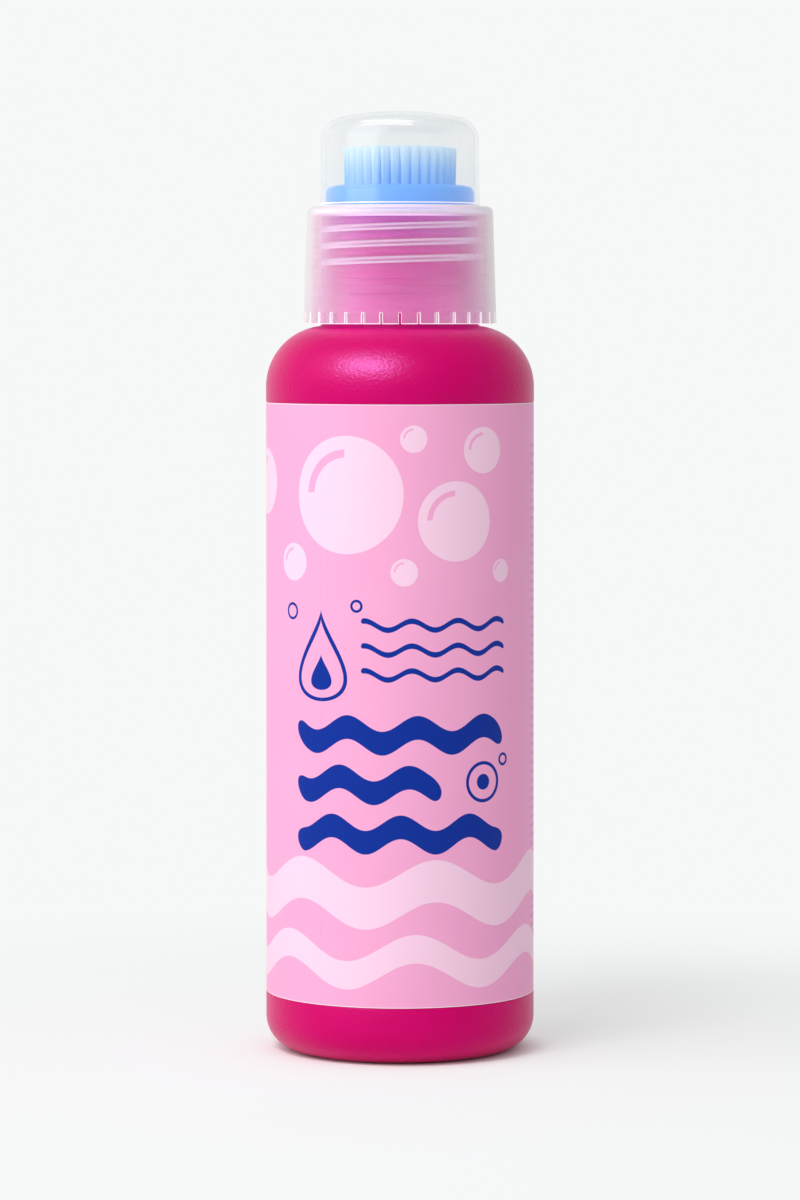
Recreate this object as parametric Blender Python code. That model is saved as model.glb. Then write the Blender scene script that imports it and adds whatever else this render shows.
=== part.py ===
"""A stain remover for laundry: a squeeze bottle with a brush head under a screwed overcap.

Metres, +Z up. The origin is the middle of the base, where the bottle stands.
The front of the label, and one slot of the overcap's rim, face -Y.
"""

import math

import bmesh
import bpy
from mathutils import Matrix, Vector

# Fits, shared by every pair of pieces that meet
FIT_GAP = 0.0003  # between two pieces that touch on the real object
CUT_OVERRUN = 0.001  # how far a cutter runs past the wall that it opens

# Bottle: driving sizes
BODY_RADIUS = 0.026
BASE_CORNER_RADIUS = 0.0065
STANDING_RING_WIDTH = 0.002
PUSH_UP_DEPTH = 0.0016  # how far the middle of the base is raised
PUSH_UP_KNEE_SHARE = 0.7  # of the standing ring's inner radius
PUSH_UP_KNEE_HEIGHT_SHARE = 0.8  # of the push-up's depth
BOTTLE_WALL = 0.001
BASE_WALL = 0.0014
LABEL_HEIGHT = 0.1141
LABEL_FILM = 0.0003
LABEL_TO_BASE_CORNER = 0.0048
LABEL_TO_SHOULDER = 0.00305
SHOULDER_INSET = 0.001  # how far inside the neck's outer wall the shoulder's arc is centred

# Neck: driving sizes
NECK_RADIUS = 0.0152
NECK_WALL = 0.0018
NECK_HEIGHT = 0.02099
NECK_RIM_CHAMFER = 0.0002
NECK_BEAD_DEPTH = 0.001
NECK_BEAD_WIDTH = 0.0018
NECK_BEAD_CHAMFER = 0.0004
THREAD_TO_BEAD = 0.0028  # from the overcap's rib down to the neck's bead

# Screw thread, right-handed, 8 turns to the inch
THREAD_PITCH = 0.003175
THREAD_DEPTH = 0.0011
THREAD_SINK = 0.0003  # how far a rib's root is sunk in its wall
RIB_ROOT_WIDTH = 0.00145
RIB_CREST_WIDTH = 0.0008
NECK_THREAD_TURNS = 2.3
CAP_THREAD_TURNS = 2.8
THREAD_EASE_TURNS = 0.12  # over which a rib dives into its wall at each end
RIM_TO_NECK_THREAD = 0.0016  # from the neck's rim down to the middle of its rib's top end
RIM_TO_CAP_THREAD = 0.0008  # from the neck's rim down to the middle of the overcap's rib's top end
RIM_TO_FRONT_CROSSING = 0.0019  # down to where the overcap's rib last crosses the front
THREAD_WALL_GAP = 0.0005  # from the neck's crests to the overcap's bore
THREAD_CREST_GAP = 0.0004  # from the overcap's crests to the neck
FLANK_GAP = 0.0003  # between the flanks that carry the overcap's pull

# Brush head: driving sizes
FLANGE_SEAT = 0.00095  # how far the flange reaches out over the neck's bore
FLANGE_HEIGHT = 0.0059
FLANGE_EDGE_RADIUS = 0.0013
FLANGE_TOP_FALL = 0.00025  # the top slopes down this much to its edge
FLANGE_CHAMFER = 0.0003
BRUSH_RIM_WIDTH = 0.00305  # from the tuft plate's edge to the flange's edge
DECK_THICKNESS = 0.0017  # under the tuft plate
PLUG_DEPTH = 0.0097
PLUG_WALL = 0.0011
PLUG_LEAD_IN = 0.0004
OUTLET_RADIUS = 0.0018
SOCKET_WALL = 0.0012
SNAP_DEPTH = 0.00035
SNAP_WIDTH = 0.0009
SOCKET_TIP = 0.0006  # plain end of the valve socket, below its snap bead

# Bristles: driving sizes
TUFT_PLATE_THICKNESS = 0.0015
BRISTLE_LENGTH = 0.0076
TUFT_EDGE = 0.0012  # from the plate's edge to the outer tufts' middle
TUFT_SIDE_GAP = 0.00046  # between neighbours of a ring
TUFT_RING_GAP = 0.00049  # between two rings
INNER_TUFT_LIMIT = 0.0033  # no tuft's middle is nearer the outlet's axis
STRAND_RADIUS = 0.00031
STRAND_SPACING = 0.00068  # between the strands of a tuft, at the plate
STRAND_FAN = 0.00008  # how far a strand's tip leans away from its tuft's middle
STRAND_SINK = 0.0004  # how far a strand is sunk in the plate
CROWN_FALL = 0.0005  # how much shorter the brush's outermost strands are
CROWN_FLAT_SHARE = 0.75  # of the outer tufts' radius, within which the tips are level

# Slit valve and its retainer: driving sizes
VALVE_RADIUS = 0.0063
VALVE_RIM_HEIGHT = 0.0012
VALVE_RIM_WIDTH = 0.0015
VALVE_SKIN = 0.00055
VALVE_DISH = 0.0008  # how far the valve's middle hangs
VALVE_KNEE_SHARE = 0.55  # of the dish's radius
VALVE_KNEE_DEPTH_SHARE = 0.7  # of the dish's depth
VALVE_HINGE_WIDTH = 0.0004  # sloping ring between the rim and the dish
SLIT_WIDTH = 0.00025
SLIT_LENGTH_SHARE = 1.3  # of the dish's radius
RETAINER_WIDTH = 0.0013
RETAINER_HEIGHT = 0.0028
RETAINER_CHAMFER = 0.0003

# Overcap: driving sizes
LINER_THICKNESS = 0.0006
LINER_SIDE_GAP = 0.0004
SKIRT_WALL = 0.00127
SKIRT_FLARE = 0.00066  # the skirt's mouth is this much wider than its top
SKIRT_CORNER_RADIUS = 0.0012
SKIRT_TO_SHOULDER = 0.00034
SHELF_THICKNESS = 0.0009
DOME_WALL = 0.00075
DOME_SIDE_GAP = 0.00035  # from the flange to the dome
DOME_FOOT_RADIUS = 0.0005
DOME_TAPER = 0.00018
DOME_CORNER_RADIUS = 0.0044
DOME_HEADROOM = 0.00495  # from the bristles' tips to the dome's corner ring
CROWN_RISE = 0.0011
CROWN_KNEE_SHARE = 0.55  # of the crown's radius
CROWN_KNEE_RISE_SHARE = 0.78  # of the crown's rise
SLOT_COUNT = 32
SLOT_WIDTH = 0.0007
SLOT_HEIGHT = 0.00225

# How finely round shapes are faceted
TURNED_SEGMENTS = 48
VALVE_SEGMENTS = 24
SEGMENTS_PER_SLOT = 2
THREAD_STEPS_PER_TURN = 32
SMOOTH_ANGLE = math.radians(35)
FRONT_ANGLE = -math.pi / 2

# Colours as seen on a screen, each of three values from 0 to 255
MAGENTA = (220, 4, 116)
LABEL_PINK = (252, 178, 219)
BRUSH_BLUE = (128, 180, 251)
BRISTLE_BLUE = (166, 205, 255)
SILICONE = (222, 228, 232)
NATURAL_PLASTIC = (236, 238, 240)
FOAM_WHITE = (244, 241, 246)

# Bottle: derived places
LABEL_BOTTOM_Z = BASE_CORNER_RADIUS + LABEL_TO_BASE_CORNER
LABEL_TOP_Z = LABEL_BOTTOM_Z + LABEL_HEIGHT
PANEL_RADIUS = BODY_RADIUS - LABEL_FILM - FIT_GAP
INNER_RADIUS = PANEL_RADIUS - BOTTLE_WALL
SHOULDER_FOOT_Z = LABEL_TOP_Z + LABEL_TO_SHOULDER
SHOULDER_RADIUS = BODY_RADIUS - NECK_RADIUS + SHOULDER_INSET
SHOULDER_END_ANGLE = math.acos(SHOULDER_INSET / SHOULDER_RADIUS)
SHOULDER_TOP_Z = SHOULDER_FOOT_Z + SHOULDER_RADIUS * math.sin(SHOULDER_END_ANGLE)
NECK_RIM_Z = SHOULDER_TOP_Z + NECK_HEIGHT
BORE_RADIUS = NECK_RADIUS - NECK_WALL

# Thread: derived sizes
NECK_CREST_RADIUS = NECK_RADIUS + THREAD_DEPTH
CAP_CREST_RADIUS = NECK_RADIUS + THREAD_CREST_GAP
SKIRT_BORE_RADIUS = NECK_CREST_RADIUS + THREAD_WALL_GAP
CAP_RIB_FRONT_Z = NECK_RIM_Z - RIM_TO_FRONT_CROSSING
NECK_RIB_FRONT_Z = CAP_RIB_FRONT_Z + (RIB_ROOT_WIDTH + RIB_CREST_WIDTH) / 2 + FLANK_GAP
NECK_RIB_TOP_Z = NECK_RIM_Z - RIM_TO_NECK_THREAD
CAP_RIB_TOP_Z = NECK_RIM_Z - RIM_TO_CAP_THREAD
CAP_RIB_BOTTOM_Z = CAP_RIB_TOP_Z - CAP_THREAD_TURNS * THREAD_PITCH - RIB_ROOT_WIDTH / 2
NECK_BEAD_TOP_Z = CAP_RIB_BOTTOM_Z - THREAD_TO_BEAD

# Brush head: derived sizes, with heights above the flange's underside
FLANGE_RADIUS = BORE_RADIUS + FLANGE_SEAT
BRUSH_SEAT_Z = NECK_RIM_Z + FIT_GAP
TUFT_PLATE_RADIUS = FLANGE_RADIUS - BRUSH_RIM_WIDTH
POCKET_RADIUS = TUFT_PLATE_RADIUS + FIT_GAP
POCKET_FLOOR = FLANGE_HEIGHT - TUFT_PLATE_THICKNESS - FIT_GAP
DECK_UNDERSIDE = POCKET_FLOOR - DECK_THICKNESS
SOCKET_RADIUS = VALVE_RADIUS + FIT_GAP
VALVE_BOTTOM = DECK_UNDERSIDE - FIT_GAP - VALVE_RIM_HEIGHT
RETAINER_BOTTOM = VALVE_BOTTOM - FIT_GAP - RETAINER_HEIGHT
SNAP_TOP = RETAINER_BOTTOM - FIT_GAP
SOCKET_BOTTOM = SNAP_TOP - SNAP_WIDTH - SOCKET_TIP
TUFT_WIDTH = STRAND_SPACING + 2 * (STRAND_FAN + STRAND_RADIUS)
TUFT_PITCH = TUFT_WIDTH + TUFT_SIDE_GAP
TUFT_RING_STEP = TUFT_WIDTH + TUFT_RING_GAP
OUTER_TUFT_RADIUS = TUFT_PLATE_RADIUS - TUFT_EDGE
BRISTLE_TIP_Z = BRUSH_SEAT_Z + FLANGE_HEIGHT + BRISTLE_LENGTH

# Overcap: derived sizes, with heights above its mouth
MOUTH_Z = SHOULDER_TOP_Z + SKIRT_TO_SHOULDER
LINER_Z = NECK_RIM_Z + FIT_GAP
LINER_INNER_RADIUS = FLANGE_RADIUS + FIT_GAP
LINER_OUTER_RADIUS = SKIRT_BORE_RADIUS - LINER_SIDE_GAP
SHELF_UNDERSIDE = LINER_Z + LINER_THICKNESS + FIT_GAP - MOUTH_Z
SHELF_TOP = SHELF_UNDERSIDE + SHELF_THICKNESS
DOME_BORE_RADIUS = FLANGE_RADIUS + DOME_SIDE_GAP
DOME_RADIUS = DOME_BORE_RADIUS + DOME_WALL
DOME_CORNER_FOOT = BRISTLE_TIP_Z + DOME_HEADROOM - DOME_CORNER_RADIUS + DOME_WALL - MOUTH_Z
CAP_SEGMENTS = SLOT_COUNT * SEGMENTS_PER_SLOT


def screen_colour(values):
    """The linear colour that a screen shows for three values from 0 to 255."""
    shares = [value / 255 for value in values]
    return [share / 12.92 if share <= 0.04045 else ((share + 0.055) / 1.055) ** 2.4 for share in shares]


def plastic(name, colour, roughness, alpha=1.0, transmission=0.0):
    """A Principled material for one kind of plastic."""
    material = bpy.data.materials.new(name)
    material.use_nodes = True
    shader = material.node_tree.nodes["Principled BSDF"]
    shader.inputs["Base Color"].default_value = (*screen_colour(colour), 1.0)
    shader.inputs["Roughness"].default_value = roughness
    shader.inputs["Metallic"].default_value = 0.0
    shader.inputs["Alpha"].default_value = alpha
    shader.inputs["Transmission Weight"].default_value = transmission
    material.diffuse_color = (*screen_colour(colour), alpha)
    return material


def clear_objects():
    """Removes every object of the scene that is open."""
    for piece in list(bpy.data.objects):
        bpy.data.objects.remove(piece, do_unlink=True)


def place(name, mesh_in_progress, material=None, parent=None, height=0.0):
    """Turns a bmesh into a named object on the bottle's axis, at a height above its parent."""
    bmesh.ops.recalc_face_normals(mesh_in_progress, faces=mesh_in_progress.faces)
    mesh = bpy.data.meshes.new(name)
    mesh_in_progress.to_mesh(mesh)
    mesh_in_progress.free()
    mesh.shade_smooth()
    mesh.set_sharp_from_angle(angle=SMOOTH_ANGLE)
    piece = bpy.data.objects.new(name, mesh)
    bpy.context.scene.collection.objects.link(piece)
    piece.parent = parent
    piece.location = (0.0, 0.0, height)
    if material:
        mesh.materials.append(material)
    return piece


def shape_tool(name, mesh_in_progress, parent, height=0.0):
    """An object that only cuts or joins another: it is drawn as wire and never rendered."""
    tool = place(name, mesh_in_progress, parent=parent, height=height)
    tool.hide_render = True
    tool.display_type = "WIRE"
    return tool


def combine(piece, tool, operation):
    """Adds an exact Boolean of a tool to a piece."""
    step = piece.modifiers.new(tool.name, "BOOLEAN")
    step.operation = operation
    step.solver = "EXACT"
    step.object = tool


def arc(centre_radius, centre_height, radius, start_degrees, end_degrees, steps):
    """Outline points along an arc. 0 degrees points outward and 90 degrees up."""
    points = []
    for step in range(steps + 1):
        angle = math.radians(start_degrees + (end_degrees - start_degrees) * step / steps)
        points.append((centre_radius + radius * math.cos(angle), centre_height + radius * math.sin(angle)))
    return points


def turned(outline, segments, closed=True):
    """Spins an outline of (radius, height) points about the axis.

    A closed outline makes a ring. An open one starts and ends on the axis.
    """
    shape = bmesh.new()
    points = [shape.verts.new((radius, 0.0, height)) for radius, height in outline]
    edges = [shape.edges.new(pair) for pair in zip(points, points[1:])]
    if closed:
        edges.append(shape.edges.new((points[-1], points[0])))
    bmesh.ops.spin(
        shape,
        geom=points + edges,
        cent=(0, 0, 0),
        axis=(0, 0, 1),
        dvec=(0, 0, 0),
        angle=math.tau,
        steps=segments,
        use_merge=True,
    )
    bmesh.ops.remove_doubles(shape, verts=shape.verts, dist=FIT_GAP / segments)
    return shape


def nearest(corners, point):
    """The corner that lies closest to a point."""
    return min(corners, key=lambda corner: (corner.co - point).length)


def thread_rib(root_radius, crest_radius, turns, top, front):
    """A right-handed helical rib that ends at the height top and crosses the front at front.

    Each section is drawn out of the last one. At both ends the crest dives to the root.
    """
    steps = round(turns * THREAD_STEPS_PER_TURN)
    top_angle = FRONT_ANGLE + math.tau * (top - front) / THREAD_PITCH
    ease_steps = THREAD_EASE_TURNS * THREAD_STEPS_PER_TURN
    buried_share = THREAD_SINK / abs(crest_radius - root_radius) / 2

    def section(step):
        turns_from_top = (step - steps) / THREAD_STEPS_PER_TURN
        angle = top_angle + math.tau * turns_from_top
        middle = top + THREAD_PITCH * turns_from_top
        ease = min(1.0, step / ease_steps, (steps - step) / ease_steps)
        crest_share = buried_share + (1 - buried_share) * ease
        crest = root_radius + (crest_radius - root_radius) * crest_share
        corners = (
            (root_radius, -RIB_ROOT_WIDTH / 2),
            (crest, -RIB_CREST_WIDTH / 2),
            (crest, RIB_CREST_WIDTH / 2),
            (root_radius, RIB_ROOT_WIDTH / 2),
        )
        return [
            (radius * math.cos(angle), radius * math.sin(angle), middle + height)
            for radius, height in corners
        ]

    rib = bmesh.new()
    corners = [rib.verts.new(point) for point in section(0)]
    face = rib.faces.new(corners)
    for step in range(1, steps + 1):
        drawn = bmesh.ops.extrude_face_region(rib, geom=[face])["geom"]
        if step > 1:
            rib.faces.remove(face)
        face = next(item for item in drawn if isinstance(item, bmesh.types.BMFace))
        corners = [nearest(face.verts, corner.co) for corner in corners]
        for corner, point in zip(corners, section(step)):
            corner.co = point
    return rib


def bottle_outline():
    """From the middle of the base up the outside to the rim, and down the inside."""
    ring_outer = BODY_RADIUS - BASE_CORNER_RADIUS
    ring_inner = ring_outer - STANDING_RING_WIDTH
    knee = PUSH_UP_KNEE_SHARE * ring_inner
    knee_height = PUSH_UP_KNEE_HEIGHT_SHARE * PUSH_UP_DEPTH
    bead_bottom = NECK_BEAD_TOP_Z - NECK_BEAD_WIDTH
    bead_radius = NECK_RADIUS + NECK_BEAD_DEPTH
    shoulder_centre = BODY_RADIUS - SHOULDER_RADIUS
    shoulder_end = math.degrees(SHOULDER_END_ANGLE)
    side_wall = BODY_RADIUS - INNER_RADIUS
    outside = [
        (0.0, PUSH_UP_DEPTH),
        (knee, knee_height),
        (ring_inner, 0.0),
        *arc(ring_outer, BASE_CORNER_RADIUS, BASE_CORNER_RADIUS, -90, 0, 5),
        (BODY_RADIUS, LABEL_BOTTOM_Z - FIT_GAP),
        (PANEL_RADIUS, LABEL_BOTTOM_Z - FIT_GAP),
        (PANEL_RADIUS, LABEL_TOP_Z + FIT_GAP),
        (BODY_RADIUS, LABEL_TOP_Z + FIT_GAP),
        *arc(shoulder_centre, SHOULDER_FOOT_Z, SHOULDER_RADIUS, 0, shoulder_end, 7),
        (NECK_RADIUS, bead_bottom),
        (bead_radius, bead_bottom + NECK_BEAD_CHAMFER),
        (bead_radius, NECK_BEAD_TOP_Z - NECK_BEAD_CHAMFER),
        (NECK_RADIUS, NECK_BEAD_TOP_Z),
        (NECK_RADIUS, NECK_RIM_Z - NECK_RIM_CHAMFER),
        (NECK_RADIUS - NECK_RIM_CHAMFER, NECK_RIM_Z),
    ]
    inside = [
        (BORE_RADIUS, NECK_RIM_Z),
        (BORE_RADIUS, SHOULDER_TOP_Z - BOTTLE_WALL),
        *arc(shoulder_centre, SHOULDER_FOOT_Z, SHOULDER_RADIUS - side_wall, 90, 0, 4),
        *arc(ring_outer, BASE_CORNER_RADIUS, BASE_CORNER_RADIUS - side_wall, 0, -90, 3),
        (knee, knee_height + BASE_WALL),
        (0.0, PUSH_UP_DEPTH + BASE_WALL),
    ]
    return outside + inside


def make_bottle(material):
    """The blow-moulded bottle: a recessed label panel, a rounded shoulder and a threaded neck."""
    bottle = place("bottle", turned(bottle_outline(), TURNED_SEGMENTS, closed=False), material)
    root = NECK_RADIUS - THREAD_SINK
    rib = thread_rib(root, NECK_CREST_RADIUS, NECK_THREAD_TURNS, NECK_RIB_TOP_Z, NECK_RIB_FRONT_Z)
    combine(bottle, shape_tool("neck_thread_rib", rib, bottle), "UNION")
    return bottle


def make_label(bottle, material):
    """The wrap label, in the bottle's recessed panel."""
    inner = PANEL_RADIUS + FIT_GAP
    outline = [(inner, 0.0), (BODY_RADIUS, 0.0), (BODY_RADIUS, LABEL_HEIGHT), (inner, LABEL_HEIGHT)]
    return place("label", turned(outline, TURNED_SEGMENTS), material, bottle, LABEL_BOTTOM_Z)


def make_brush_head(bottle, material):
    """The blue brush base: a flange on the rim, a plug in the bore and a socket for the valve."""
    plug_radius = BORE_RADIUS - FIT_GAP
    plug_bore = plug_radius - PLUG_WALL
    socket_outer = SOCKET_RADIUS + SOCKET_WALL
    snap_radius = SOCKET_RADIUS - SNAP_DEPTH
    edge_centre = FLANGE_RADIUS - FLANGE_EDGE_RADIUS
    edge_height = FLANGE_HEIGHT - FLANGE_TOP_FALL - FLANGE_EDGE_RADIUS
    outline = [
        (OUTLET_RADIUS, DECK_UNDERSIDE),
        (OUTLET_RADIUS, POCKET_FLOOR),
        (POCKET_RADIUS, POCKET_FLOOR),
        (POCKET_RADIUS, FLANGE_HEIGHT),
        *arc(edge_centre, edge_height, FLANGE_EDGE_RADIUS, 90, 0, 4),
        (FLANGE_RADIUS, FLANGE_CHAMFER),
        (FLANGE_RADIUS - FLANGE_CHAMFER, 0.0),
        (plug_radius, 0.0),
        (plug_radius, PLUG_LEAD_IN - PLUG_DEPTH),
        (plug_radius - PLUG_LEAD_IN, -PLUG_DEPTH),
        (plug_bore, -PLUG_DEPTH),
        (plug_bore, DECK_UNDERSIDE),
        (socket_outer, DECK_UNDERSIDE),
        (socket_outer, SOCKET_BOTTOM),
        (SOCKET_RADIUS, SOCKET_BOTTOM),
        (SOCKET_RADIUS, SNAP_TOP - SNAP_WIDTH),
        (snap_radius, SNAP_TOP - SNAP_WIDTH / 2),
        (SOCKET_RADIUS, SNAP_TOP),
        (SOCKET_RADIUS, DECK_UNDERSIDE),
    ]
    return place("brush_head", turned(outline, TURNED_SEGMENTS), material, bottle, BRUSH_SEAT_Z)


def tuft_places():
    """The radius and angle of each tuft's middle, in rings from the outside in."""
    places = []
    radius = OUTER_TUFT_RADIUS
    while radius >= INNER_TUFT_LIMIT:
        count = round(math.tau * radius / TUFT_PITCH)
        step = math.tau / count
        places += [(radius, FRONT_ANGLE + step / 2 + step * tuft) for tuft in range(count)]
        radius -= TUFT_RING_STEP
    return places


def add_strand(strands, radius, angle, outward, sideways):
    """Adds one three-sided strand, which leans away from the middle of its tuft."""
    reach_share = (radius + outward * STRAND_SPACING / 2) / OUTER_TUFT_RADIUS
    past_flat = max(0.0, reach_share - CROWN_FLAT_SHARE) / (1 - CROWN_FLAT_SHARE)
    length = STRAND_SINK + BRISTLE_LENGTH - CROWN_FALL * past_flat
    lean = Matrix.Identity(4)
    lean[0][2] = outward * STRAND_FAN / length
    lean[1][2] = sideways * STRAND_FAN / length
    root = Matrix.Translation(
        (radius + outward * STRAND_SPACING / 2, sideways * STRAND_SPACING / 2, -STRAND_SINK)
    )
    upright = Matrix.Translation((0.0, 0.0, length / 2))
    bmesh.ops.create_cone(
        strands,
        cap_ends=True,
        segments=3,
        radius1=STRAND_RADIUS,
        radius2=STRAND_RADIUS,
        depth=length,
        matrix=Matrix.Rotation(angle, 4, "Z") @ root @ lean @ upright,
    )


def make_bristles(brush_head, material):
    """The tufts of the brush, each of four strands, fused to the plate that they are set in."""
    outline = [
        (OUTLET_RADIUS, 0.0),
        (TUFT_PLATE_RADIUS, 0.0),
        (TUFT_PLATE_RADIUS, TUFT_PLATE_THICKNESS),
        (OUTLET_RADIUS, TUFT_PLATE_THICKNESS),
    ]
    plate = turned(outline, TURNED_SEGMENTS)
    bristles = place("bristles", plate, material, brush_head, POCKET_FLOOR + FIT_GAP)
    strands = bmesh.new()
    for radius, angle in tuft_places():
        for outward in (-1, 1):
            for sideways in (-1, 1):
                add_strand(strands, radius, angle, outward, sideways)
    print("strands in the brush:", 4 * len(tuft_places()))
    combine(bristles, shape_tool("strands", strands, bristles, TUFT_PLATE_THICKNESS), "UNION")
    return bristles


def slit_cross(half_length, half_width, bottom, top):
    """A plus-shaped prism that cuts the valve's two crossed slits."""
    quarter = [(half_width, half_width), (half_width, half_length), (-half_width, half_length)]
    cross = bmesh.new()
    corners = []
    for turn in range(4):
        rotation = Matrix.Rotation(turn * math.pi / 2, 2)
        corners += [rotation @ Vector(point) for point in quarter]
    face = cross.faces.new([cross.verts.new((x, y, bottom)) for x, y in corners])
    drawn = bmesh.ops.extrude_face_region(cross, geom=[face])["geom"]
    moved = [item for item in drawn if isinstance(item, bmesh.types.BMVert)]
    bmesh.ops.translate(cross, verts=moved, vec=(0.0, 0.0, top - bottom))
    return cross


def make_slit_valve(brush_head, material):
    """The silicone valve: a thick rim, and a thin dish whose crossed slits open when squeezed."""
    rim_inner = VALVE_RADIUS - VALVE_RIM_WIDTH
    dish = rim_inner - VALVE_HINGE_WIDTH
    middle = VALVE_RIM_HEIGHT / 2
    knee = VALVE_KNEE_SHARE * dish
    knee_drop = VALVE_KNEE_DEPTH_SHARE * VALVE_DISH
    half = VALVE_SKIN / 2
    outline = [
        (0.0, middle - VALVE_DISH - half),
        (knee, middle - knee_drop - half),
        (dish, middle - half),
        (rim_inner, 0.0),
        (VALVE_RADIUS, 0.0),
        (VALVE_RADIUS, VALVE_RIM_HEIGHT),
        (rim_inner, VALVE_RIM_HEIGHT),
        (dish, middle + half),
        (knee, middle - knee_drop + half),
        (0.0, middle - VALVE_DISH + half),
    ]
    shape = turned(outline, VALVE_SEGMENTS, closed=False)
    valve = place("slit_valve", shape, material, brush_head, VALVE_BOTTOM)
    lowest = middle - VALVE_DISH - half - CUT_OVERRUN
    highest = VALVE_RIM_HEIGHT + CUT_OVERRUN
    cross = slit_cross(SLIT_LENGTH_SHARE * dish / 2, SLIT_WIDTH / 2, lowest, highest)
    combine(valve, shape_tool("valve_slits", cross, valve), "DIFFERENCE")
    return valve


def make_valve_retainer(brush_head, material):
    """The ring that snaps into the socket and holds the valve's rim."""
    inner = VALVE_RADIUS - RETAINER_WIDTH
    outline = [
        (inner, 0.0),
        (VALVE_RADIUS - RETAINER_CHAMFER, 0.0),
        (VALVE_RADIUS, RETAINER_CHAMFER),
        (VALVE_RADIUS, RETAINER_HEIGHT),
        (inner, RETAINER_HEIGHT),
    ]
    return place("valve_retainer", turned(outline, VALVE_SEGMENTS), material, brush_head, RETAINER_BOTTOM)


def make_cap_liner(cap_lift, material):
    """The foam ring that seals the rim, trapped in the overcap above its thread."""
    outline = [
        (LINER_INNER_RADIUS, 0.0),
        (LINER_OUTER_RADIUS, 0.0),
        (LINER_OUTER_RADIUS, LINER_THICKNESS),
        (LINER_INNER_RADIUS, LINER_THICKNESS),
    ]
    return place("cap_liner", turned(outline, TURNED_SEGMENTS), material, cap_lift, LINER_Z - NECK_RIM_Z)


def overcap_outline():
    """From the middle of the dome's inside down to the mouth, and up the outside."""
    skirt_radius = SKIRT_BORE_RADIUS + SKIRT_WALL
    corner_centre = skirt_radius - SKIRT_CORNER_RADIUS
    foot_centre = DOME_RADIUS + DOME_FOOT_RADIUS
    corner_radius = DOME_RADIUS - DOME_TAPER - DOME_CORNER_RADIUS
    inner_corner = DOME_CORNER_RADIUS - DOME_WALL
    crown = DOME_CORNER_FOOT + DOME_CORNER_RADIUS
    knee = CROWN_KNEE_SHARE * corner_radius
    knee_rise = CROWN_KNEE_RISE_SHARE * CROWN_RISE
    outside = [
        (skirt_radius + SKIRT_FLARE, 0.0),
        *arc(corner_centre, SHELF_TOP - SKIRT_CORNER_RADIUS, SKIRT_CORNER_RADIUS, 0, 90, 3),
        *arc(foot_centre, SHELF_TOP + DOME_FOOT_RADIUS, DOME_FOOT_RADIUS, 270, 180, 2),
        *arc(corner_radius, DOME_CORNER_FOOT, DOME_CORNER_RADIUS, 0, 80, 4),
        (knee, crown + knee_rise),
        (0.0, crown + CROWN_RISE),
    ]
    inside = [
        (0.0, crown + CROWN_RISE - DOME_WALL),
        (knee, crown + knee_rise - DOME_WALL),
        *arc(corner_radius, DOME_CORNER_FOOT, inner_corner, 80, 0, 4),
        (DOME_BORE_RADIUS, SHELF_TOP),
        (DOME_BORE_RADIUS, SHELF_UNDERSIDE),
        (SKIRT_BORE_RADIUS, SHELF_UNDERSIDE),
        (SKIRT_BORE_RADIUS + SKIRT_FLARE, 0.0),
    ]
    return inside + outside


def rim_slots():
    """The cutters of the slots in the overcap's mouth, one of which faces the front."""
    reach = SKIRT_BORE_RADIUS + SKIRT_WALL + SKIRT_FLARE + CUT_OVERRUN
    depth = SKIRT_WALL + SKIRT_FLARE + CUT_OVERRUN + CUT_OVERRUN
    half = SLOT_WIDTH / 2
    side = [(-half, -CUT_OVERRUN), (half, -CUT_OVERRUN)]
    top = arc(0.0, SLOT_HEIGHT - half, half, 0, 180, 4)
    cutters = bmesh.new()
    for slot in range(SLOT_COUNT):
        corners = [cutters.verts.new((reach, across, up)) for across, up in side + top]
        face = cutters.faces.new(corners)
        drawn = bmesh.ops.extrude_face_region(cutters, geom=[face])["geom"]
        moved = [item for item in drawn if isinstance(item, bmesh.types.BMVert)]
        bmesh.ops.translate(cutters, verts=moved, vec=(-depth, 0.0, 0.0))
        angle = FRONT_ANGLE + math.tau * slot / SLOT_COUNT
        turn = Matrix.Rotation(angle, 3, "Z")
        bmesh.ops.rotate(cutters, verts=corners + moved, cent=(0, 0, 0), matrix=turn)
    return cutters


def make_overcap(cap_lift, material):
    """The frosted overcap: a threaded skirt, a shelf over the rim and a dome over the brush."""
    shell = turned(overcap_outline(), CAP_SEGMENTS, closed=False)
    overcap = place("overcap", shell, material, cap_lift, MOUTH_Z - NECK_RIM_Z)
    root = SKIRT_BORE_RADIUS + SKIRT_FLARE / 2 + THREAD_SINK
    top = CAP_RIB_TOP_Z - MOUTH_Z
    front = CAP_RIB_FRONT_Z - MOUTH_Z
    rib = thread_rib(root, CAP_CREST_RADIUS, CAP_THREAD_TURNS, top, front)
    combine(overcap, shape_tool("cap_thread_rib", rib, overcap), "UNION")
    combine(overcap, shape_tool("rim_slot_cutters", rim_slots(), overcap), "DIFFERENCE")
    return overcap


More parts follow.
